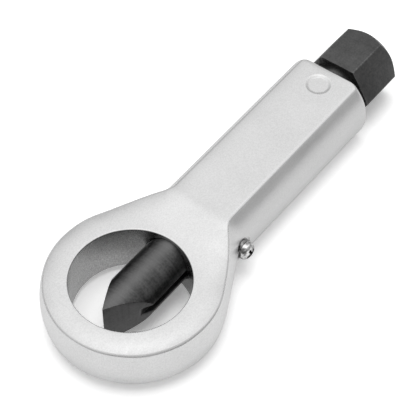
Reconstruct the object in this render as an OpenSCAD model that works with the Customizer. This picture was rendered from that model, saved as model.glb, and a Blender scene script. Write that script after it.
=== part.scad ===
// Nut splitter: a round-headed body that goes over a seized nut, a keyed chisel cutter
// and a hex-headed forcing screw that drives the cutter across the hole.
// Frame: origin at the centre of the nut hole on the drive axis,
// +X towards the hex head, +Z out of the marked side. Millimetres.

/* [Head] */
// Diameter of the hole that goes over the nut
nut_hole_d = 32; // [28:0.5:36]
// Diameter of the ball-shaped head, before its faces are milled
head_d = 48.8; // [46:0.2:54]
// How far the head's centre lies behind the hole's centre
head_shift = 1.2; // [0:0.1:2]
// Thickness across the head's two milled faces
head_t = 15.2; // [14.6:0.1:17.5]
// Edge break at both rims of the nut hole
rim_break = 0.4; // [0.1:0.1:1]

/* [Barrel] */
// Diameter of the barrel
barrel_d = 26.3; // [25:0.1:30]
// Distance across the barrel's two milled flats
flats_w = 19.5; // [19.2:0.1:22]
// Distance from the hole's centre to the barrel's end
barrel_end = 88.2; // [80:0.1:100]
// Distance from the hole's centre to where the flats start
flats_start = 28; // [24:0.5:34]
// Length of the curved ramp from the head's face up to the flat
ramp_l = 13; // [8:0.5:16]
// Half angle of the neck's taper
neck_angle = 27.5; // [24:0.5:34]
// Radius of the fillet between the neck and the barrel
neck_fillet = 10; // [4:0.5:16]
// Radius on the barrel's end edge
end_round = 1.6; // [0.3:0.1:2.5]
// Edge break at the mouth of the threaded bore
mouth_break = 0.4; // [0.1:0.1:0.4]
// Diameter of the shallow round recess on the flat
recess_d = 7.2; // [4:0.1:10]
// Depth of the round recess
recess_depth = 0.35; // [0.1:0.05:0.35]
// Distance of the recess from the barrel's end
recess_inset = 6.3; // [4:0.1:20]

/* [Cutter] */
// Diameter of the cutter
cutter_d = 13.6; // [11:0.1:13.8]
// Length of the cutter from its edge to its rear face
cutter_l = 57; // [54:0.5:62]
// Space between the cutting edge and the hole's far wall
edge_gap = 5; // [4.8:0.1:10]
// Included angle of the chisel
chisel_angle = 58; // [45:1:75]
// Width of the blunt land on the cutting edge
edge_land = 0.3; // [0.1:0.05:0.8]
// Width of the keyway along the cutter
keyway_w = 2.6; // [2:0.1:3.4]
// Depth of the keyway below the cutter's surface
keyway_depth = 1.9; // [1.2:0.1:2.4]
// Chamfer on the cutter's rear edge
cutter_chamfer = 0.6; // [0.2:0.1:1.2]

/* [Forcing screw] */
// Outside diameter of the thread
thread_d = 18; // [16:0.1:18.2]
// Thread pitch, which sets the depth of the end chamfer and of the relief groove
thread_pitch = 1.5; // [1:0.25:2]
// Width of the relief groove between the thread and the hex head
relief_w = 1.6; // [0.8:0.1:2]
// How far the hex head's flats lie inside the barrel's flats, so that the tool lies level
hex_inset = 0.25; // [0.25:0.05:1.25]
// Length of the hex head
hex_l = 15.4; // [10:0.1:20]
// Chamfer on the hex head's outer end, at the corners
hex_chamfer = 1.8; // [0.6:0.1:3]
// Angle of one hex corner from straight up
hex_turn = 28; // [0:1:59]
// Space between the hex head and the barrel's end
hex_gap = 3; // [2:0.1:8]
// Diameter of the ball between the screw and the cutter
ball_d = 8; // [6:0.5:8.5]

/* [Guide screw] */
// Distance from the hole's centre to the guide screw
guide_x = 30; // [28:0.1:36]
// Thread diameter of the guide screw
guide_d = 3; // [2.5:0.1:4]
// Diameter of the plain tip that runs in the keyway
guide_tip_d = 2.4; // [1.8:0.1:2.5]
// Diameter of the pan head
guide_head_d = 5.2; // [5:0.1:7]
// Height of the pan head
guide_head_h = 2.4; // [1.5:0.1:3]
// Height of the pan head's straight rim
guide_rim_h = 1.2; // [0.5:0.1:1.5]
// Outside diameter of the split washer
washer_d = 5.6; // [5.4:0.1:7]
// Thickness of the split washer
washer_t = 1; // [0.5:0.1:1.2]
// Width of the washer's split
washer_split = 0.6; // [0.3:0.1:1]
// Depth of the spot face under the washer
spot_depth = 0.3; // [0.3:0.1:1]
// Room around the washer on the spot face
spot_room = 0.5; // [0.2:0.1:1]

/* [Fits] */
// Radial clearance of the cutter in its bore
slide_fit = 0.05; // [0.02:0.01:0.1]
// Radial clearance of the plain form that stands for the thread
thread_fit = 0.05; // [0.02:0.01:0.1]
// Radial clearance of the ball in its two cups
ball_fit = 0.05; // [0.02:0.01:0.1]
// Radial clearance of the guide screw in its hole
guide_fit = 0.02; // [0.01:0.01:0.1]
// Radial clearance of the washer on the guide screw
washer_fit = 0.06; // [0.03:0.01:0.2]
// Space between the cutter's rear face and the screw's end
thrust_gap = 0.4; // [0.2:0.1:1]
// Space left between the hex and the barrel at the end of the travel
travel_stop = 0.1; // [0.05:0.05:0.5]
// Space left past the travel and under the guide screw's tip
end_clear = 0.3; // [0.1:0.1:0.6]

/* [Hidden] */
$fn = 96;

nickel = [0.80, 0.80, 0.79];
black_oxide = [0.13, 0.13, 0.135];
bright_steel = [0.86, 0.86, 0.87];

head_r = head_d / 2;
barrel_r = barrel_d / 2;
bore_r = cutter_d / 2 + slide_fit;
thread_bore_r = thread_d / 2 + thread_fit;

// Neck: a cone that leaves the ball head at a tangent and meets the barrel
neck_start = head_shift + head_r * sin(neck_angle);
neck_start_r = head_r * cos(neck_angle);
neck_meet = neck_start + (neck_start_r - barrel_r) / tan(neck_angle);
fillet_x = neck_meet + neck_fillet * tan(neck_angle / 2);
fillet_on_cone_x = fillet_x - neck_fillet * sin(neck_angle);
fillet_on_cone_r = barrel_r + neck_fillet * (1 - cos(neck_angle));

// Ramp: an arc that starts level with the head's face and ends at the flat's height
ramp_start = flats_start - ramp_l;
ramp_rise = (flats_w - head_t) / 2;
ramp_r = (ramp_l * ramp_l + ramp_rise * ramp_rise) / (2 * ramp_rise);

// Cutter and screw along the drive axis
edge_x = edge_gap - nut_hole_d / 2;
cutter_rear_x = edge_x + cutter_l;
ball_x = cutter_rear_x + thrust_gap / 2;
screw_end_x = cutter_rear_x + thrust_gap;
hex_x = barrel_end + hex_gap;
// Distance across the hex head's flats
hex_af = flats_w - 2 * hex_inset;
hex_r = hex_af / 2 / cos(30);
forward_travel = min(hex_gap, edge_gap) - travel_stop;
thread_bore_x = screw_end_x - forward_travel - end_clear;
// Depth of an external metric thread as a share of its pitch
metric_depth = 0.6134;
thread_depth = metric_depth * thread_pitch;

// Guide screw: radial places are measured from the drive axis
keyway_floor = cutter_d / 2 - keyway_depth;
keyway_end_x = guide_x + forward_travel + guide_tip_d / 2 + end_clear;
spot_y = barrel_r - spot_depth;
guide_head_y = spot_y + washer_t;
guide_tip_y = keyway_floor + end_clear;
guide_thread_y = bore_r + end_clear;
spot_d = washer_d + 2 * spot_room;

// Length that reaches past every outside surface
reach = head_d + barrel_end;

// Turns a shape that stands on +Z so that it points along +X
module along_x() {
    rotate([0, 90, 0]) children();
}

// Turns a shape that stands on +Z so that it points along -Y, at the guide screw's place
module along_guide() {
    translate([guide_x, 0, 0]) rotate([90, 0, 0]) children();
}

// Half outline of the turned blank: radius across, place on the drive axis upwards
module blank_profile() {
    intersection() {
        translate([0, head_shift]) circle(head_r);
        translate([0, head_shift - head_r]) square([head_r, head_d]);
    }
    difference() {
        polygon([
            [0, head_shift],
            [neck_start_r, neck_start],
            [fillet_on_cone_r, fillet_on_cone_x],
            [barrel_r, fillet_x],
            [0, fillet_x]
        ]);
        translate([barrel_r + neck_fillet, fillet_x]) circle(neck_fillet);
    }
    translate([0, head_shift]) square([barrel_r - end_round, barrel_end - head_shift]);
    translate([0, fillet_x]) square([barrel_r, barrel_end - end_round - fillet_x]);
    translate([barrel_r - end_round, barrel_end - end_round]) circle(end_round);
}

// What is milled away from both sides: the barrel's flats, the head's faces and the ramps
module milled_sides() {
    for (side = [0, 1]) mirror([0, 0, side]) {
        translate([-reach, -reach, flats_w / 2]) cube([2 * reach, 2 * reach, reach]);
        translate([-reach, -reach, head_t / 2]) cube([reach + ramp_start, 2 * reach, reach]);
        translate([ramp_start, 0, head_t / 2 + ramp_r])
            rotate([90, 0, 0]) cylinder(h = 2 * reach, r = ramp_r, center = true);
    }
}

// The hole for the nut, with both rims broken
module nut_hole() {
    cylinder(h = head_d, d = nut_hole_d, center = true);
    for (side = [0, 1]) mirror([0, 0, side])
        translate([0, 0, head_t / 2 - rim_break])
            cylinder(h = 2 * rim_break, d1 = nut_hole_d, d2 = nut_hole_d + 4 * rim_break);
}

// The bore for the cutter, the wider threaded bore behind it and the mouth's edge break
module drive_bores() {
    drill_step = thread_bore_r - bore_r;
    along_x() {
        cylinder(h = thread_bore_x, r = bore_r);
        translate([0, 0, thread_bore_x - drill_step])
            cylinder(h = drill_step, r1 = bore_r, r2 = thread_bore_r);
        translate([0, 0, thread_bore_x]) cylinder(h = reach, r = thread_bore_r);
        translate([0, 0, barrel_end - mouth_break])
            cylinder(h = 2 * mouth_break, r1 = thread_bore_r, r2 = thread_bore_r + 2 * mouth_break);
    }
}

module guide_hole() {
    along_guide() {
        cylinder(h = barrel_d, r = guide_d / 2 + guide_fit);
        translate([0, 0, spot_y]) cylinder(h = barrel_d, d = spot_d);
    }
}

module recess() {
    translate([barrel_end - recess_inset, 0, flats_w / 2 - recess_depth])
        cylinder(h = 2 * recess_depth, d1 = recess_d - 2 * recess_depth, d2 = recess_d + 2 * recess_depth);
}

module body() {
    color(nickel) difference() {
        along_x() rotate_extrude() blank_profile();
        milled_sides();
        nut_hole();
        drive_bores();
        guide_hole();
        recess();
    }
}

// Plan of the chisel: two bevels that meet in a narrow vertical land
module chisel_plan() {
    half = cutter_d;
    bevel_l = (half - edge_land / 2) / tan(chisel_angle / 2);
    polygon([
        [edge_x, edge_land / 2],
        [edge_x, -edge_land / 2],
        [edge_x + bevel_l, -half],
        [cutter_rear_x, -half],
        [cutter_rear_x, half],
        [edge_x + bevel_l, half]
    ]);
}

// Slot on the guide screw's side, open at the edge and round at its rear end
module keyway() {
    slot_l = keyway_end_x - keyway_w / 2 - edge_x;
    translate([edge_x, -cutter_d, -keyway_w / 2])
        cube([slot_l, cutter_d - keyway_floor, keyway_w]);
    translate([edge_x + slot_l, -keyway_floor, 0])
        rotate([90, 0, 0]) cylinder(h = cutter_d, d = keyway_w);
}

module ball_cup() {
    translate([ball_x, 0, 0]) sphere(ball_d / 2 + ball_fit);
}

module cutter() {
    color(black_oxide) difference() {
        intersection() {
            translate([edge_x, 0, 0]) along_x() {
                cylinder(h = cutter_l - cutter_chamfer, d = cutter_d);
                translate([0, 0, cutter_l - cutter_chamfer])
                    cylinder(h = cutter_chamfer, d1 = cutter_d, d2 = cutter_d - 2 * cutter_chamfer);
            }
            linear_extrude(2 * cutter_d, center = true) chisel_plan();
        }
        keyway();
        ball_cup();
    }
}

module thrust_ball() {
    color(bright_steel) translate([ball_x, 0, 0]) sphere(d = ball_d);
}

// Hex prism whose outer end is turned to a 45 degree cone
module hex_head() {
    cone_r = hex_r - hex_chamfer;
    intersection() {
        rotate([0, 0, 180 + hex_turn]) cylinder(h = hex_l, r = hex_r, $fn = 6);
        cylinder(h = hex_l, r1 = cone_r + hex_l, r2 = cone_r);
    }
}

module drive_screw() {
    shank_l = hex_x - screw_end_x;
    root_d = thread_d - 2 * thread_depth;
    color(black_oxide) difference() {
        translate([screw_end_x, 0, 0]) along_x() {
            cylinder(h = shank_l, d = root_d);
            cylinder(h = thread_depth, d1 = root_d, d2 = thread_d);
            translate([0, 0, thread_depth]) cylinder(h = shank_l - thread_depth - relief_w, d = thread_d);
            translate([0, 0, shank_l]) hex_head();
        }
        ball_cup();
    }
}

// Pan head: a short straight rim with a low crown of one large radius
module pan_head() {
    crown_h = guide_head_h - guide_rim_h;
    crown_r = (guide_head_d * guide_head_d / 4 + crown_h * crown_h) / (2 * crown_h);
    cylinder(h = guide_rim_h, d = guide_head_d);
    intersection() {
        translate([0, 0, guide_head_h - crown_r]) sphere(crown_r);
        cylinder(h = guide_head_h, d = guide_head_d);
    }
}

// The tip's core runs up through the thread, and the thread's into the head's rim
module guide_screw() {
    rim_y = guide_head_y + guide_rim_h / 2;
    color(bright_steel) along_guide() {
        translate([0, 0, guide_tip_y]) cylinder(h = guide_head_y - guide_tip_y, d = guide_tip_d);
        translate([0, 0, guide_thread_y]) cylinder(h = rim_y - guide_thread_y, d = guide_d);
        translate([0, 0, guide_head_y]) pan_head();
    }
}

module lock_washer() {
    color(bright_steel) along_guide() translate([0, 0, spot_y]) difference() {
        cylinder(h = washer_t, d = washer_d);
        translate([0, 0, -washer_t]) cylinder(h = 3 * washer_t, r = guide_d / 2 + washer_fit);
        translate([0, -washer_split / 2, -washer_t]) cube([washer_d, washer_split, 3 * washer_t]);
    }
}

body();
cutter();
thrust_ball();
drive_screw();
guide_screw();
lock_washer();
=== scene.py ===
"""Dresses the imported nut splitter: machined pieces with broken edges, finishes, stage and camera.

Lengths are millimetres in the CAD frame: the origin is the centre of the nut hole on the drive axis,
+X runs to the hex head and +Z out of the flat with the round recess. Meshes are scaled to metres.
"""
import math

import bmesh
import bpy
import numpy as np
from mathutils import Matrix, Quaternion, Vector


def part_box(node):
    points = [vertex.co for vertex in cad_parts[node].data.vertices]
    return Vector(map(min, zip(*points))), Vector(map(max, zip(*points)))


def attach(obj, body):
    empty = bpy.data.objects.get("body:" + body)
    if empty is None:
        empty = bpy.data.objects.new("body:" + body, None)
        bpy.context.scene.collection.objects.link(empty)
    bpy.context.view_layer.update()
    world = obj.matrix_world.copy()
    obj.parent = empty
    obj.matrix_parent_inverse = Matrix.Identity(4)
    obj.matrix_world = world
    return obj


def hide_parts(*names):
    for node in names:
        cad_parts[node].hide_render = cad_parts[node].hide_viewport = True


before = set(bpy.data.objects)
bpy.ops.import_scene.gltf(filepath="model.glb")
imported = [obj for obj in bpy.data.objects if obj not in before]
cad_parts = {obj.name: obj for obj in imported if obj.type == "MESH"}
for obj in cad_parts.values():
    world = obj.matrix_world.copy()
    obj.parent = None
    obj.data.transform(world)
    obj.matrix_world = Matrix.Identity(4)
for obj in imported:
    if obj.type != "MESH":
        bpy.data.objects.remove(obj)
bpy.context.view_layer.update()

MM = 0.001


def box_mm(node):
    """Lowest and highest corner of a CAD node, in millimetres."""
    low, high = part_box(node)
    return np.array(low) / MM, np.array(high) / MM


body_low, body_high = box_mm("body")
cutter_low, cutter_high = box_mm("cutter")
screw_low, screw_high = box_mm("drive_screw")
guide_low, guide_high = box_mm("guide_screw")
washer_low, washer_high = box_mm("lock_washer")

# Head and neck
NUT_HOLE_R = 16.0
HEAD_SHIFT = 1.2
HEAD_R = body_high[1]
HEAD_FACE = 7.6
NECK_ANGLE = math.radians(27.5)
NECK_FILLET = 10.0
HEAD_CROWN_W = 7.0
HEAD_CROWN_DROP = 1.25
CROWN_POWER = 3.2
HEAD_EDGE = 0.5
RIM_EDGE = 0.3
# Unevenness of the crown round the head: waves, share of the drop and phase
HEAD_RIPPLES = ((5, 0.05, 0), (13, 0.04, 1))

# Barrel
BARREL_R = 13.15
BARREL_END = body_high[0]
FLAT = body_high[2]
FLATS_START = 28.0
RAMP_START = 15.0
RAMP_FOOT_BEND = 4.0
RAMP_TOP_BEND = 1.0
FLAT_CROWN_W = 3.0
FLAT_CROWN_DROP = 0.45
FLAT_CROWN_RIGHT = 0.1
FLAT_EDGE = 0.3
END_EDGE = 1.6
# Along X, where the head's crown gives way to the flat's, and where the turned finish sets in
CROWN_FADE = (FLATS_START - 8, FLATS_START + 1)
TURNED_FADE = (FLATS_START - 6, FLATS_START + 4)
TURNED_DEPTH = 0.6
TURNED_MARGIN = 0.5
RECESS_X = BARREL_END - 6.3
RECESS_R = 3.6
RECESS_DEPTH = 0.4
RECESS_SLOPE = math.radians(26)

# Bores
CUTTER_BORE_R = 6.85
THREAD_BORE_R = 9.05
THREAD_BORE_X = 43.2
MOUTH_BREAK = 0.1
BORE_EDGE = 0.12
SMALL_EDGE = 0.08
BORED_BAND = 0.15

# Cutter
CUTTER_R = cutter_high[2]
EDGE_X = cutter_low[0]
CUTTER_REAR = cutter_high[0]
BEVEL = math.radians(29)
EDGE_LAND = 0.15
KEYWAY_HALF = 1.3
KEYWAY_FLOOR = 4.9
KEYWAY_END = 34.4 - KEYWAY_HALF
BALL_X = 46.2
BALL_CUP_R = 4.05
CUTTER_EDGE = 0.1
CUTTING_EDGE = 0.05
REAR_EDGE = 0.5
GROUND_DEPTH = 0.2
GROUND_POLISH = 0.5
CREST_HIGHLIGHT_POWER = 18

# Forcing screw
THREAD_R = 9.0
PITCH = 1.5
THREAD_DEPTH = 0.6134 * PITCH
ROOT_R = THREAD_R - THREAD_DEPTH
RELIEF_W = 1.6
HEX_X = BARREL_END + 3.0
HEX_END = screw_high[0]
HEX_APOTHEM = 9.5
HEX_TURN = math.radians(28)
HEX_CHAMFER = 1.8
HEX_EDGE = 0.35
HEX_BREAK = 0.2
SIXTH = math.radians(60)
TWELFTH = math.radians(30)
THREAD_WEAR = 0.6
TIP_BREAK = 0.1
CUP_ROWS = 8
SHARP_ANGLE = math.radians(28)

# Guide screw, measured outwards from the drive axis along -Y
GUIDE_X = (guide_low[0] + guide_high[0]) / 2
GUIDE_HEAD_R = (guide_high[0] - guide_low[0]) / 2
GUIDE_TOP = -guide_low[1]
GUIDE_TIP = -guide_high[1]
GUIDE_SEAT = -washer_low[1]
SPOT_FACE = -washer_high[1]
GUIDE_RIM = 1.2
GUIDE_THREAD_R = 1.5
GUIDE_TIP_R = 1.2
GUIDE_STEP = 7.15
GUIDE_CROWN_EDGE = 0.2
GUIDE_SEAT_EDGE = 0.1
SHANK_OVERLAP = 0.2
CROSS_TURN = math.radians(20)
CROSS_HALF = 0.42
CROSS_HALF_TAPER = 0.1
CROSS_REACH = 1.75
CROSS_REACH_TAPER = 0.6
CROSS_DEPTH = 1.3
CROSS_EDGE = 0.06
PIT_DEPTH = 0.08
PIT_MARGIN = 0.3
SPOT_R = 3.3
WASHER_R = (washer_high[0] - washer_low[0]) / 2
WASHER_HOLE_R = 1.56
WASHER_SPLIT = 0.3
WASHER_EDGE = 0.12
SPLIT_SLANT = 0.4
SPLIT_EDGE = 0.06

# Grids as (place, step) pairs, each step running to the next place: fine at edges, coarse between
BODY_GRID_X = ((-24, 0.36), (34, 2.5), (77.4, 0.3), (88.8, 0))
BODY_GRID_Y = ((-25, 0.36), (-4.2, 0.3), (4.2, 0.36), (25, 0))
BODY_GRID_UP = ((0, 0.6), (5.8, 0.19), (7.8, 0.24), (9.2, 0.15), (10.05, 0))
CUTTER_GRID_X = ((EDGE_X - 0.3, 0.2), (2, 0.8), (32, 0.3), (37, 0.8), (CUTTER_REAR - 4, 0.25), (46.3, 0))
CUTTER_GRID_SIDE = ((-7.1, 0.2), (7.1, 0))
GUIDE_GRID_SIDE = ((-3.05, 0.09), (3.05, 0))
GUIDE_GRID_Y = ((-GUIDE_TOP - 0.2, 0.09), (-GUIDE_SEAT + 0.3, 0.4), (-GUIDE_STEP - 0.4, 0.1), (-5, 0))
WASHER_GRID_SIDE = ((-3.15, 0.09), (3.15, 0))
WASHER_GRID_Y = ((-GUIDE_SEAT - 0.15, 0.07), (-SPOT_FACE + 0.15, 0))

# Meshing: passes that move the points onto the surface, and the least values that count
SETTLE_PASSES = 4
LEAST_SLOPE = 0.1
LEAST_LENGTH = 1e-9
LEAST_BEND = 0.25
WELD = 1e-6

# Finishes: greys, how far a marked surface takes on its own grey, and roughness from least to most
NICKEL_DARK = 0.75
NICKEL_LIGHT = 0.92
NICKEL_RUBBED = 0.88
NICKEL_RUBBED_SHARE = 0.3
NICKEL_TURNED = 0.6
NICKEL_TURNED_SHARE = 0.4
NICKEL_ROUGH = (0.32, 0.42)
RUBBED_SMOOTHER = 0.1
# Nut hole wall: bare machined steel, made darker still as painted shade inside the hole
HOLE_BARE_AND_SHADED_DARK = 0.38
HOLE_BARE_AND_SHADED_LIGHT = 0.7
HOLE_SMOOTHER = 0.14
OXIDE_RUBBED = 0.24
OXIDE_RUBBED_SHARE = (0.1, 0.5)
# Lighter grey for the cutter's polished ground bevels and for a painted highlight along its crest
OXIDE_POLISH_AND_HIGHLIGHT = 0.26
OXIDE_POLISH_AND_HIGHLIGHT_SHARE = 0.5
OXIDE_ROUGH = (0.28, 0.42)
BRIGHT_ROUGH = (0.06, 0.16)
# Painted shade: black at the bottom of the guide screw's cross recess
PIT_SHADE_BLACK = 0.03

# Camera and stage
VIEW_AZIMUTH = math.radians(-51.98)
VIEW_ELEVATION = math.radians(51.95)
VIEW_ROLL = math.radians(-0.3)
VIEW_DISTANCE = 468.26
VIEW_TARGET = (34.83, 1.38, 0)
FOCAL_PIXELS = 1750.46
FRAME_PIXELS = 420
SENSOR = 36
CLIP_START = 0.01
FLOOR_HALF = 1500
FLOOR_GREY = 0.63
FLOOR_GLOW_SEEN = 0.2
FLOOR_GLOW_MIRRORED = 0.12
LAMP_ENERGY = 1.2
LAMP_ANGLE = math.radians(36)
# The dome's light by height, from the horizon at 0 to straight up at 1
DOME_LEVELS = (
    (0.0, 0.4), (0.2, 0.45), (0.45, 0.62), (0.62, 0.82), (0.8, 0.87), (0.9, 1.0), (0.96, 1.08), (1.0, 1.3),
)
DIM_SIDE = (-0.45, -0.89, 0)
DIM_FADE = (0.1, 0.6)
DIM_LEVEL = 0.7


# Shapes as fields: negative in the metal, about the distance to its surface elsewhere

def rounded_meet(a, b, radius):
    """What lies in both a and b, with their common edge rounded."""
    corner = np.hypot(np.maximum(a + radius, 0), np.maximum(b + radius, 0))
    return np.minimum(np.maximum(a, b), -radius) + corner


def turned_blank(x, rho):
    """The ball head, tapered neck and barrel before milling, at a distance rho from the drive axis."""
    from_head = x - HEAD_SHIFT
    along_cone = from_head * math.cos(NECK_ANGLE) - rho * math.sin(NECK_ANGLE)
    cone = from_head * math.sin(NECK_ANGLE) + rho * math.cos(NECK_ANGLE) - HEAD_R
    neck_start = HEAD_SHIFT + HEAD_R * math.sin(NECK_ANGLE)
    neck_drop = HEAD_R * math.cos(NECK_ANGLE) - BARREL_R
    neck_meet = neck_start + neck_drop / math.tan(NECK_ANGLE)
    fillet_x = neck_meet + NECK_FILLET * math.tan(NECK_ANGLE / 2)
    cone_length = neck_drop / math.sin(NECK_ANGLE) - NECK_FILLET * math.tan(NECK_ANGLE / 2)
    ball = np.hypot(from_head, rho) - HEAD_R
    fillet = NECK_FILLET - np.hypot(x - fillet_x, rho - BARREL_R - NECK_FILLET)
    side = np.where(along_cone < 0, ball, cone)
    side = np.where(along_cone > cone_length, fillet, side)
    side = np.where(x > fillet_x, rho - BARREL_R, side)
    return rounded_meet(side, x - BARREL_END, END_EDGE)


def eased(past, reach):
    """Nothing below -reach, the value itself above reach, and a parabola between."""
    return np.where(past > reach, past, np.maximum(past + reach, 0)**2 / (4 * reach))


def milled_sides(x, z):
    """The head's faces, the ramps and the barrel's flats, alike on both sides."""
    slope = (FLAT - HEAD_FACE) / (FLATS_START - RAMP_START)
    climb = eased(x - RAMP_START, RAMP_FOOT_BEND) - eased(x - FLATS_START, RAMP_TOP_BEND)
    return np.abs(z) - HEAD_FACE - slope * climb


def bore_radius(x):
    """Radius of the bore along the drive axis: the cutter's, then the screw's, then its mouth."""
    step = THREAD_BORE_R - CUTTER_BORE_R
    places = [THREAD_BORE_X - step, THREAD_BORE_X, BARREL_END - MOUTH_BREAK, BARREL_END]
    radii = [CUTTER_BORE_R, THREAD_BORE_R, THREAD_BORE_R, THREAD_BORE_R + MOUTH_BREAK]
    return np.interp(x, places, radii)


def worn_sides(x, y, z, blank):
    """The milled sides crowned towards their outer margins, more on the head than on the barrel."""
    width = np.interp(x, CROWN_FADE, [HEAD_CROWN_W, FLAT_CROWN_W])
    share = np.interp(x, CROWN_FADE, [0, 1])
    flat_drop = FLAT_CROWN_DROP * np.interp(y, [-BARREL_R / 2, BARREL_R / 2], [FLAT_CROWN_RIGHT, 1])
    drop = HEAD_CROWN_DROP * (1 - share) + flat_drop * share
    angle = np.arctan2(y, x - HEAD_SHIFT)
    drop = drop * (1 + sum(part * np.sin(waves * angle + phase) for waves, part, phase in HEAD_RIPPLES))
    margin = np.clip(1 + blank / width, 0, 1)
    return milled_sides(x, z) + drop * margin**CROWN_POWER


def body_field(x, y, z):
    """The milled blank with its holes, the guide screw's seat and the round recess."""
    rho = np.hypot(y, z)
    blank = turned_blank(x, rho)
    edge = np.interp(x, [RAMP_START, FLATS_START], [HEAD_EDGE, FLAT_EDGE])
    metal = rounded_meet(blank, worn_sides(x, y, z, blank), edge)
    metal = rounded_meet(metal, NUT_HOLE_R - np.hypot(x, y), RIM_EDGE)
    bore = np.where(x > 0, bore_radius(x) - rho, -HEAD_R)
    metal = rounded_meet(metal, bore, BORE_EDGE)
    from_guide = np.hypot(x - GUIDE_X, z)
    spot = np.maximum(from_guide - SPOT_R, y + SPOT_FACE)
    guide_hole = np.maximum(from_guide - GUIDE_THREAD_R, y)
    metal = rounded_meet(metal, -np.minimum(spot, guide_hole), SMALL_EDGE)
    from_recess = np.hypot(x - RECESS_X, y)
    recess_wall = (from_recess - RECESS_R) * math.sin(RECESS_SLOPE) + (FLAT - z) * math.cos(RECESS_SLOPE)
    recess = np.maximum(recess_wall, FLAT - RECESS_DEPTH - z)
    return rounded_meet(metal, -recess, SMALL_EDGE)


def cutter_field(x, y, z):
    """Round chisel with two bevels, a keyway on the guide screw's side and a cup for the ball."""
    rho = np.hypot(y, z)
    bevel = (np.abs(y) - EDGE_LAND) * math.cos(BEVEL) - (x - EDGE_X) * math.sin(BEVEL)
    metal = rounded_meet(rho - CUTTER_R, bevel, CUTTER_EDGE)
    metal = rounded_meet(metal, EDGE_X - x, CUTTING_EDGE)
    metal = rounded_meet(metal, x - CUTTER_REAR, REAR_EDGE)
    across = np.where(x < KEYWAY_END, np.abs(z), np.hypot(x - KEYWAY_END, z)) - KEYWAY_HALF
    keyway = np.maximum(across, y + KEYWAY_FLOOR)
    metal = rounded_meet(metal, -keyway, CUTTER_EDGE)
    cup = np.hypot(rho, x - BALL_X) - BALL_CUP_R
    return np.maximum(metal, -cup)


def guide_crown(rho, height):
    """The low crown of the guide screw's head."""
    crown_h = GUIDE_TOP - GUIDE_SEAT - GUIDE_RIM
    crown_r = (GUIDE_HEAD_R**2 + crown_h**2) / (2 * crown_h)
    return np.hypot(rho, height - GUIDE_TOP + crown_r) - crown_r


def guide_field(x, y, z):
    """Pan head with a cross recess, on a shank that ends in a thinner tip."""
    height = -y
    rho = np.hypot(x - GUIDE_X, z)
    head = rounded_meet(rho - GUIDE_HEAD_R, guide_crown(rho, height), GUIDE_CROWN_EDGE)
    head = rounded_meet(head, GUIDE_SEAT - height, GUIDE_SEAT_EDGE)
    depth = GUIDE_TOP - height
    p = np.abs((x - GUIDE_X) * math.cos(CROSS_TURN) + z * math.sin(CROSS_TURN))
    q = np.abs(z * math.cos(CROSS_TURN) - (x - GUIDE_X) * math.sin(CROSS_TURN))
    half = CROSS_HALF - CROSS_HALF_TAPER * depth
    reach = CROSS_REACH - CROSS_REACH_TAPER * depth
    arms = np.minimum(np.maximum(p - half, q - reach), np.maximum(q - half, p - reach))
    head = rounded_meet(head, -np.maximum(arms, depth - CROSS_DEPTH), CROSS_EDGE)
    shank_r = np.where(height > GUIDE_STEP, GUIDE_THREAD_R, GUIDE_TIP_R)
    shank = np.maximum(rho - shank_r, np.maximum(GUIDE_TIP - height, height - GUIDE_SEAT - SHANK_OVERLAP))
    return np.minimum(head, shank)


def washer_field(x, y, z):
    """Spring lock washer, with its slanted split on the side towards the hex."""
    middle = (GUIDE_SEAT + SPOT_FACE) / 2
    rho = np.hypot(x - GUIDE_X, z)
    ring = np.abs(rho - (WASHER_R + WASHER_HOLE_R) / 2) - (WASHER_R - WASHER_HOLE_R) / 2
    metal = rounded_meet(ring, np.abs(-y - middle) - (GUIDE_SEAT - SPOT_FACE) / 2, WASHER_EDGE)
    slant = SPLIT_SLANT * (-y - middle)
    split = np.maximum(np.abs(z - slant) - WASHER_SPLIT, GUIDE_X - x)
    return rounded_meet(metal, -split, SPLIT_EDGE)


# Fields to meshes

def spaced(stops):
    """Grid places from (place, step) pairs."""
    runs = []
    for (start, step), (end, _) in zip(stops, stops[1:]):
        runs.append(np.linspace(start, end, max(1, round((end - start) / step)), endpoint=False))
    return np.concatenate(runs + [[stops[-1][0]]])


def slope_of(field, points, reach=1e-4):
    """How the field rises at each point, along x, y and z."""
    return np.stack([
        (field(*(points + reach * way).T) - field(*(points - reach * way).T)) / (2 * reach)
        for way in np.eye(3)
    ], 1)


def edge_share(field, points, reach=0.1):
    """From 0 where the surface is flat or hollow to 1 where it bends tightly outwards."""
    around = sum(field(*(points + reach * way).T) for way in np.vstack([np.eye(3), -np.eye(3)]))
    bend = (around - 6 * field(*points.T)) / reach**2
    return np.clip(bend - LEAST_BEND, 0, 1)


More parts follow.
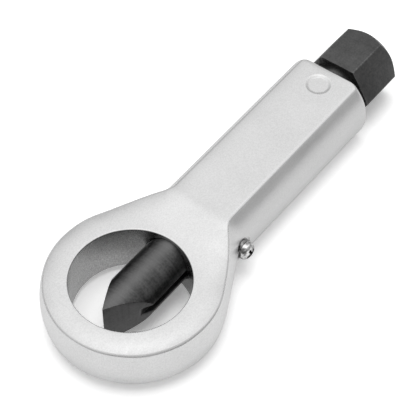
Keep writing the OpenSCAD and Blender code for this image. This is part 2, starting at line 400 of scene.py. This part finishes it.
def skin(field, axes):
    """Points, quads and normals of a field's surface: one point per grid cell that the surface crosses."""
    across, up = np.meshgrid(axes[1], axes[2], indexing="ij")
    value = np.stack([field(np.full_like(across, x), across, up) for x in axes[0]])
    inside = value < 0
    cell_shape = np.array(value.shape) - 1
    filled = np.zeros(cell_shape, np.uint8)
    for i, j, k in np.ndindex(2, 2, 2):
        filled += inside[i:i + cell_shape[0], j:j + cell_shape[1], k:k + cell_shape[2]]
    cells = np.argwhere((filled > 0) & (filled < 8))
    number = np.full(cell_shape, -1)
    number[tuple(cells.T)] = np.arange(len(cells))

    def place(corner):
        return np.stack([axes[n][corner[:, n]] for n in range(3)], 1)

    total = np.zeros((len(cells), 3))
    hits = np.zeros(len(cells))
    quads = []
    ways = np.eye(3, dtype=int)
    for axis in range(3):
        along = ways[axis]
        first = ways[(axis + 1) % 3]
        second = ways[(axis + 2) % 3]
        for i, j in np.ndindex(2, 2):
            start = cells + i * first + j * second
            a = value[tuple(start.T)]
            b = value[tuple((start + along).T)]
            meets = (a < 0) != (b < 0)
            share = (a / np.where(meets, a - b, 1))[:, None]
            crossing = place(start) + share * (place(start + along) - place(start))
            total += np.where(meets[:, None], crossing, 0)
            hits += meets
        rising = np.diff(inside.astype(np.int8), axis=axis)
        edges = np.argwhere(rising)
        ring = [edges - first - second, edges - second, edges, edges - first]
        quad = np.stack([number[tuple(c.T)] for c in ring], 1)
        outwards = rising[tuple(edges.T)] < 0
        quads.append(np.where(outwards[:, None], quad, quad[:, ::-1]))
    points = total / hits[:, None]
    for _ in range(SETTLE_PASSES):
        slope = slope_of(field, points)
        points -= (field(*points.T) / np.maximum((slope**2).sum(1), LEAST_SLOPE))[:, None] * slope
    normals = slope_of(field, points)
    normals /= np.maximum(np.linalg.norm(normals, axis=1), LEAST_LENGTH)[:, None]
    return points, np.concatenate(quads), normals


def add_attribute(mesh, name, values):
    """Gives each point of a mesh a value that its finish reads."""
    mesh.attributes.new(name, "FLOAT", "POINT").data.foreach_set("value", values.astype(np.float32))


def vertex_places(mesh):
    """The x, y and z of a mesh's points, in millimetres."""
    spots = np.empty(len(mesh.vertices) * 3)
    mesh.vertices.foreach_get("co", spots)
    return spots.reshape(-1, 3).T / MM


def new_mesh(name, points, faces, wear):
    """A smooth mesh in metres from points in millimetres, with the wear at each point."""
    mesh = bpy.data.meshes.new(name)
    mesh.from_pydata((points * MM).tolist(), [], faces.tolist())
    add_attribute(mesh, "wear", wear)
    mesh.polygons.foreach_set("use_smooth", np.ones(len(mesh.polygons), bool))
    return mesh


def add_piece(mesh, body, node, material):
    """Puts a mesh in the scene in place of a CAD node."""
    piece = bpy.data.objects.new(mesh.name, mesh)
    bpy.context.scene.collection.objects.link(piece)
    mesh.materials.append(material)
    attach(piece, body)
    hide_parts(node)


def field_mesh(name, field, *axes):
    """The mesh of a field's surface, with its normals and its wear from the field."""
    points, quads, normals = skin(field, axes)
    mesh = new_mesh(name, points, quads, edge_share(field, points))
    mesh.normals_split_custom_set_from_vertices(normals.tolist())
    return mesh


def body_mesh():
    """The body, with the nut hole's wall marked for its bare machined finish and painted shade, and the
    barrel's round side as turned.
    """
    up = spaced(BODY_GRID_UP)
    both_ways = np.concatenate([-up[:0:-1], up])
    mesh = field_mesh("machined_body", body_field, spaced(BODY_GRID_X), spaced(BODY_GRID_Y), both_ways)
    x, y, z = vertex_places(mesh)
    add_attribute(mesh, "bored_and_shaded", np.clip(1 - np.abs(np.hypot(x, y) - NUT_HOLE_R) / BORED_BAND, 0, 1))
    round_side = (np.hypot(y, z) > BARREL_R - TURNED_DEPTH) & (np.abs(z) < FLAT - TURNED_MARGIN)
    add_attribute(mesh, "turned", round_side * np.interp(x, TURNED_FADE, [0, 1]))
    return mesh


def cutter_mesh():
    """The cutter, with a painted highlight along its crest and polished ground bevels."""
    side = spaced(CUTTER_GRID_SIDE)
    mesh = field_mesh("chisel_cutter", cutter_field, spaced(CUTTER_GRID_X), side, side)
    _, y, z = vertex_places(mesh)
    ground = GROUND_POLISH * (CUTTER_R - np.hypot(y, z) > GROUND_DEPTH)
    # Painted highlight: lighter along the cutter's top and bottom crest
    crest = np.clip(np.abs(z) / CUTTER_R, 0, 1)**CREST_HIGHLIGHT_POWER
    add_attribute(mesh, "polish_and_highlight", np.maximum(crest, ground))
    return mesh


def guide_mesh():
    """The guide screw, with its cross recess marked for painted black shade."""
    side = spaced(GUIDE_GRID_SIDE)
    mesh = field_mesh("pan_head_screw", guide_field, side + GUIDE_X, spaced(GUIDE_GRID_Y), side)
    x, y, z = vertex_places(mesh)
    rho = np.hypot(x - GUIDE_X, z)
    below_crown = guide_crown(rho, -y) < -PIT_DEPTH
    pit_shade = below_crown & (-y > GUIDE_SEAT + PIT_MARGIN) & (rho < GUIDE_HEAD_R - PIT_MARGIN)
    add_attribute(mesh, "pit_shade", pit_shade)
    return mesh


def washer_mesh():
    side = spaced(WASHER_GRID_SIDE)
    return field_mesh("spring_washer", washer_field, side + GUIDE_X, spaced(WASHER_GRID_Y), side)


# Forcing screw: columns of (place on the axis, radius, wear), one column for each angle round the axis

def screw_angles():
    """Angles from straight up towards -Y, close together where the hex has its corners."""
    from_corner = np.radians([0.3, 0.6, 0.92, 1.6, 3, 6, 10, 15, 20, 25, 30])
    sector = np.concatenate([-from_corner[-2::-1], [0], from_corner])
    angles = np.concatenate([sector + HEX_TURN + SIXTH * n for n in range(6)])
    return np.append(angles, angles[0] + 2 * math.pi)


def hex_radius(angle):
    """Distance from the axis to the hex's side, and 1 on a rounded corner or 0 on a flat."""
    from_corner = abs((angle - HEX_TURN + TWELFTH) % SIXTH - TWELFTH)
    centre = (HEX_APOTHEM - HEX_EDGE) / math.cos(TWELFTH)
    reach = HEX_EDGE * math.cos(TWELFTH) + centre
    if math.tan(from_corner) * reach > HEX_EDGE / 2:
        return HEX_APOTHEM / math.cos(TWELFTH - from_corner), 0
    lift = math.sqrt(HEX_EDGE**2 - (centre * math.sin(from_corner))**2)
    return centre * math.cos(from_corner) + lift, 1


def thread_rows(angle, start, end):
    """A metric thread's flats and flanks where it crosses one angle."""
    phases = [(0, THREAD_R, 1), (1 / 8, THREAD_R, 1), (7 / 16, ROOT_R, 0), (11 / 16, ROOT_R, 0)]
    rows = []
    for turn in range(-2, math.ceil((end - start) / PITCH) + 1):
        for phase, radius, wear in phases:
            x = min(max(start + PITCH * (turn + phase + angle / (2 * math.pi)), start), end)
            lead = ROOT_R + min(x - start, end - x)
            rows.append((x, min(radius, lead), wear * THREAD_WEAR))
    return rows


def screw_column(angle):
    """The screw's outline at one angle, from the ball's cup to the middle of the hex head's end."""
    start = screw_low[0]
    relief = HEX_X - RELIEF_W
    cup_end = math.acos((start - BALL_X) / BALL_CUP_R)
    cup = [(BALL_X + BALL_CUP_R * math.cos(t), BALL_CUP_R * math.sin(t), 0)
           for t in np.linspace(0, cup_end, CUP_ROWS)]
    side, corner = hex_radius(angle)
    cone_r = HEX_APOTHEM / math.cos(TWELFTH) - HEX_CHAMFER
    cone_x = HEX_END - (side - cone_r)
    head = [
        (HEX_X, ROOT_R, 0),
        (HEX_X, side - HEX_BREAK, 0.6),
        (HEX_X + HEX_BREAK / 3, side - HEX_BREAK / 3, 1),
        (HEX_X + HEX_BREAK, side, corner),
        (cone_x - HEX_BREAK, side, corner),
        (cone_x - HEX_BREAK / 4, side - HEX_BREAK / 8, 1),
        (cone_x + HEX_BREAK, side - HEX_BREAK * 1.2, 0.5),
        (HEX_END - HEX_BREAK, cone_r + HEX_BREAK, 0.3),
        (HEX_END - HEX_BREAK / 4, cone_r, 0.6),
        (HEX_END, cone_r - HEX_BREAK, 0.3),
        (HEX_END, cone_r / 2, 0),
        (HEX_END, 0, 0),
    ]
    return cup + [(start, ROOT_R - TIP_BREAK, 0)] + thread_rows(angle, start, relief) + head


def screw_mesh():
    """The forcing screw: columns joined round the axis, welded where their points coincide."""
    angles = screw_angles()
    columns = np.array([screw_column(a) for a in angles])
    x, radius, wear = columns[..., 0], columns[..., 1], columns[..., 2]
    points = np.stack([x, -radius * np.sin(angles)[:, None], radius * np.cos(angles)[:, None]], -1)
    n, rows = x.shape
    first = (np.arange(n - 1)[:, None] * rows + np.arange(rows - 1)).ravel()
    faces = np.stack([first, first + rows, first + rows + 1, first + 1], 1)
    mesh = new_mesh("forcing_screw", points.reshape(-1, 3), faces, wear.ravel())
    welded = bmesh.new()
    welded.from_mesh(mesh)
    bmesh.ops.remove_doubles(welded, verts=welded.verts, dist=WELD)
    welded.to_mesh(mesh)
    welded.free()
    mesh.set_sharp_from_angle(angle=SHARP_ANGLE)
    return mesh


# Finishes

def add_node(tree, kind, inputs=None, **settings):
    """A shader node with its settings, and its inputs as values or as links from other sockets."""
    node = tree.nodes.new(kind)
    for name, value in settings.items():
        setattr(node, name, value)
    for name, value in (inputs or {}).items():
        if isinstance(value, bpy.types.NodeSocket):
            tree.links.new(value, node.inputs[name])
        else:
            node.inputs[name].default_value = value
    return node


def noise(tree, place, scale, detail=2.0, stretch=(1, 1, 1)):
    """Noise from 0 to 1 with features of about 1 / scale metres, stretched along the axes."""
    mapped = add_node(tree, "ShaderNodeMapping", {"Vector": place, "Scale": stretch})
    made = add_node(tree, "ShaderNodeTexNoise", {
        "Vector": mapped.outputs["Vector"], "Scale": scale, "Detail": detail})
    return made.outputs["Fac"]


def between(tree, value, low, high, start=0.0, end=1.0):
    """Maps start..end of a value to low..high."""
    made = add_node(tree, "ShaderNodeMapRange", {
        "Value": value, "From Min": start, "From Max": end, "To Min": low, "To Max": high})
    return made.outputs["Result"]


def math_node(tree, operation, a, b):
    return add_node(tree, "ShaderNodeMath", {0: a, 1: b}, operation=operation).outputs[0]


def plus(tree, a, b):
    return math_node(tree, "ADD", a, b)


def minus(tree, a, b):
    return math_node(tree, "SUBTRACT", a, b)


def times(tree, a, b):
    return math_node(tree, "MULTIPLY", a, b)


def attribute(tree, name):
    """A value that the mesh carries at its points, or 0 where the mesh has none of that name."""
    return add_node(tree, "ShaderNodeAttribute", attribute_name=name).outputs["Fac"]


def grey(level):
    return (level, level, level, 1)


def new_material(name):
    """A material, its node tree and the place on the object that its patterns follow."""
    material = bpy.data.materials.new(name)
    material.use_nodes = True
    tree = material.node_tree
    return material, tree, add_node(tree, "ShaderNodeTexCoord").outputs["Object"]


def join_metal(tree, colour, rough, height, strength, depth):
    """Joins a colour, a roughness and a fine relief to the material's shader, as bare metal."""
    shader = tree.nodes["Principled BSDF"]
    bump = add_node(tree, "ShaderNodeBump", {"Strength": strength, "Distance": depth, "Height": height})
    shader.inputs["Metallic"].default_value = 1
    tree.links.new(colour, shader.inputs["Base Color"])
    tree.links.new(rough, shader.inputs["Roughness"])
    tree.links.new(bump.outputs["Normal"], shader.inputs["Normal"])


def mixed(tree, share, first, second):
    """The first colour at a share of 0, the second at 1."""
    made = add_node(tree, "ShaderNodeMix", data_type="RGBA")
    usable = [s for s in made.inputs if s.enabled and s.type in ("VALUE", "RGBA")]
    for name, value in (("Factor", share), ("A", first), ("B", second)):
        socket = next(s for s in usable if s.name == name)
        if isinstance(value, bpy.types.NodeSocket):
            tree.links.new(value, socket)
        else:
            socket.default_value = value
    return next(s for s in made.outputs if s.type == "RGBA" and s.enabled)


def satin_nickel():
    """Nickel plated steel: fine grain and faint clouds, duller on the barrel, mottled and darker in the
    nut hole, as bare machined steel and as painted shade.
    """
    material, tree, place = new_material("satin_nickel")
    wear = attribute(tree, "wear")
    turned = attribute(tree, "turned")
    bored_and_shaded = attribute(tree, "bored_and_shaded")
    grain = noise(tree, place, scale=2600, detail=3)
    cloud = noise(tree, place, scale=90, detail=4)
    strokes = noise(tree, place, scale=900, detail=3, stretch=(0.06, 1, 1))
    mottle = noise(tree, place, scale=3200, detail=4, stretch=(1, 1, 0.7))
    shade = between(tree, plus(tree, times(tree, cloud, 0.5), grain), 0, 1, start=0.45, end=1.05)
    colour = mixed(tree, shade, grey(NICKEL_DARK), grey(NICKEL_LIGHT))
    colour = mixed(tree, times(tree, wear, NICKEL_RUBBED_SHARE), colour, grey(NICKEL_RUBBED))
    colour = mixed(tree, times(tree, turned, NICKEL_TURNED_SHARE), colour, grey(NICKEL_TURNED))
    spots = between(tree, mottle, 0, 1, start=0.3, end=0.7)
    # Darker nut hole wall: partly bare machined steel, partly painted shade inside the hole
    colour = mixed(tree, bored_and_shaded, colour, mixed(tree, spots, grey(HOLE_BARE_AND_SHADED_DARK), grey(HOLE_BARE_AND_SHADED_LIGHT)))
    rough = between(tree, plus(tree, cloud, strokes), *NICKEL_ROUGH, start=0.7, end=1.3)
    rough = minus(tree, rough, times(tree, wear, RUBBED_SMOOTHER))
    rough = minus(tree, rough, times(tree, bored_and_shaded, HOLE_SMOOTHER))
    height = plus(tree, grain, times(tree, strokes, 0.5))
    join_metal(tree, colour, rough, height, strength=0.12, depth=0.04 * MM)
    return material


def black_oxide(name, dark, light, turned):
    """Blackened steel: mottled, with more or less of the lathe's lines and edges rubbed towards grey."""
    material, tree, place = new_material(name)
    wear = attribute(tree, "wear")
    polish_and_highlight = attribute(tree, "polish_and_highlight")
    grain = noise(tree, place, scale=1800, detail=4)
    cloud = noise(tree, place, scale=220, detail=4)
    lathe_lines = noise(tree, place, scale=1600, detail=3, stretch=(1, 0.05, 0.05))
    strokes = between(tree, lathe_lines, 0.5 - turned / 2, 0.5 + turned / 2)
    shade = between(tree, plus(tree, plus(tree, cloud, grain), strokes), 0, 1, start=1.2, end=1.8)
    colour = mixed(tree, shade, grey(dark), grey(light))
    rubbed = times(tree, wear, between(tree, grain, *OXIDE_RUBBED_SHARE, start=0.35, end=0.65))
    colour = mixed(tree, rubbed, colour, grey(OXIDE_RUBBED))
    # Lighter where marked: polished ground bevels, and a painted highlight along the cutter's crest
    colour = mixed(tree, times(tree, polish_and_highlight, OXIDE_POLISH_AND_HIGHLIGHT_SHARE), colour, grey(OXIDE_POLISH_AND_HIGHLIGHT))
    height = plus(tree, grain, strokes)
    rough = between(tree, height, *OXIDE_ROUGH, start=0.7, end=1.3)
    join_metal(tree, colour, rough, height, strength=0.15, depth=0.04 * MM)
    return material


def bright_steel(name, dark, light):
    """Bright plated steel with tarnished patches and hair scratches, and painted black shade at the bottom
    of hollows.
    """
    material, tree, place = new_material(name)
    scratches = noise(tree, place, scale=3000, detail=3, stretch=(0.1, 1, 1))
    cloud = noise(tree, place, scale=700, detail=3)
    patches = between(tree, cloud, 0, 1, start=0.4, end=0.6)
    colour = mixed(tree, patches, grey(dark), grey(light))
    # Painted shade: black in the cross recess
    colour = mixed(tree, attribute(tree, "pit_shade"), colour, grey(PIT_SHADE_BLACK))
    rough = between(tree, scratches, *BRIGHT_ROUGH, start=0.3, end=0.7)
    join_metal(tree, colour, rough, scratches, strength=0.08, depth=0.03 * MM)
    return material


# Stage

def white_floor():
    """White to the camera and grey to the metal, with a faint glow, and still darker in shadow."""
    mesh = bpy.data.meshes.new("floor")
    half = FLOOR_HALF * MM
    level = body_low[2] * MM
    corners = [(-half, -half, level), (half, -half, level), (half, half, level), (-half, half, level)]
    mesh.from_pydata(corners, [], [(0, 1, 2, 3)])
    floor = bpy.data.objects.new("floor", mesh)
    bpy.context.scene.collection.objects.link(floor)
    material = bpy.data.materials.new("floor_white")
    material.use_nodes = True
    tree = material.node_tree
    tree.nodes.clear()
    path = add_node(tree, "ShaderNodeLightPath").outputs
    mirrored = math_node(tree, "MAXIMUM", path["Is Glossy Ray"], path["Is Transmission Ray"])
    mirrored = times(tree, mirrored, FLOOR_GLOW_MIRRORED)
    seen = times(tree, path["Is Camera Ray"], FLOOR_GLOW_SEEN)
    whiteness = between(tree, path["Is Camera Ray"], FLOOR_GREY, 1)
    paper = add_node(tree, "ShaderNodeBsdfDiffuse", {"Color": whiteness})
    glow = add_node(tree, "ShaderNodeEmission", {"Strength": plus(tree, seen, mirrored)})
    both = add_node(tree, "ShaderNodeAddShader", {0: paper.outputs[0], 1: glow.outputs[0]})
    add_node(tree, "ShaderNodeOutputMaterial", {"Surface": both.outputs[0]})
    mesh.materials.append(material)


def soft_dome():
    """A broad soft light from above over a dimmer horizon, dimmest on the guide screw's side."""
    world = bpy.data.worlds.new("soft_dome")
    world.use_nodes = True
    tree = world.node_tree
    tree.nodes.clear()
    way = add_node(tree, "ShaderNodeTexCoord").outputs["Generated"]
    height = add_node(tree, "ShaderNodeVectorMath", {0: way, 1: (0, 0, 1)}, operation="DOT_PRODUCT")
    ramp = add_node(tree, "ShaderNodeValToRGB", {"Fac": height.outputs["Value"]})
    stops = ramp.color_ramp.elements
    stops.remove(stops[1])
    stops[0].position = DOME_LEVELS[0][0]
    stops[0].color = grey(DOME_LEVELS[0][1])
    for place, level in DOME_LEVELS[1:]:
        stops.new(place).color = grey(level)
    nearness = add_node(tree, "ShaderNodeVectorMath", {0: way, 1: DIM_SIDE}, operation="DOT_PRODUCT")
    strength = between(tree, nearness.outputs["Value"], 1, DIM_LEVEL, *DIM_FADE)
    sky = add_node(tree, "ShaderNodeBackground", {"Color": ramp.outputs["Color"], "Strength": strength})
    white = add_node(tree, "ShaderNodeBackground", {"Color": grey(1), "Strength": 1})
    from_camera = add_node(tree, "ShaderNodeLightPath").outputs["Is Camera Ray"]
    both = add_node(tree, "ShaderNodeMixShader", {0: from_camera, 1: sky.outputs[0], 2: white.outputs[0]})
    add_node(tree, "ShaderNodeOutputWorld", {"Surface": both.outputs[0]})
    bpy.context.scene.world = world


def overhead_lamp():
    """A soft lamp for the floor: the metal mirrors only the dome and the floor."""
    data = bpy.data.lights.new("overhead_lamp", "SUN")
    data.energy = LAMP_ENERGY
    data.angle = LAMP_ANGLE
    lamp = bpy.data.objects.new("overhead_lamp", data)
    bpy.context.scene.collection.objects.link(lamp)
    lamp.visible_glossy = False


def photo_camera():
    """The photo's view, as a pinhole camera."""
    back = Vector((
        math.sin(VIEW_AZIMUTH) * math.cos(VIEW_ELEVATION),
        -math.cos(VIEW_AZIMUTH) * math.cos(VIEW_ELEVATION),
        math.sin(VIEW_ELEVATION),
    ))
    data = bpy.data.cameras.new("photo_camera")
    data.sensor_width = SENSOR
    data.lens = SENSOR * FOCAL_PIXELS / FRAME_PIXELS
    data.clip_start = CLIP_START
    camera = bpy.data.objects.new("photo_camera", data)
    bpy.context.scene.collection.objects.link(camera)
    camera.location = (Vector(VIEW_TARGET) + back * VIEW_DISTANCE) * MM
    level = (-back).to_track_quat("-Z", "Y")
    camera.rotation_euler = (level @ Quaternion((0, 0, 1), VIEW_ROLL)).to_euler()
    bpy.context.scene.camera = camera


nickel = satin_nickel()
bright = bright_steel("bright_steel", dark=0.2, light=0.95)
# A darker copy of the bright steel for the lock washer: painted shade under the screw's head
shaded_steel = bright_steel("bright_steel_washer_shaded", dark=0.14, light=0.4)
cutter_black = black_oxide("black_oxide_cutter", dark=0.06, light=0.13, turned=0.9)
screw_black = black_oxide("black_oxide_screw", dark=0.08, light=0.13, turned=0.15)
add_piece(body_mesh(), "body", "body", nickel)
add_piece(cutter_mesh(), "cutter", "cutter", cutter_black)
add_piece(screw_mesh(), "drive_screw", "drive_screw", screw_black)
add_piece(guide_mesh(), "body", "guide_screw", bright)
add_piece(washer_mesh(), "body", "lock_washer", shaded_steel)
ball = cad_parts["thrust_ball"].data
ball.materials.clear()
ball.materials.append(bright)

white_floor()
soft_dome()
overhead_lamp()
photo_camera()
bpy.context.scene.view_settings.view_transform = "Standard"
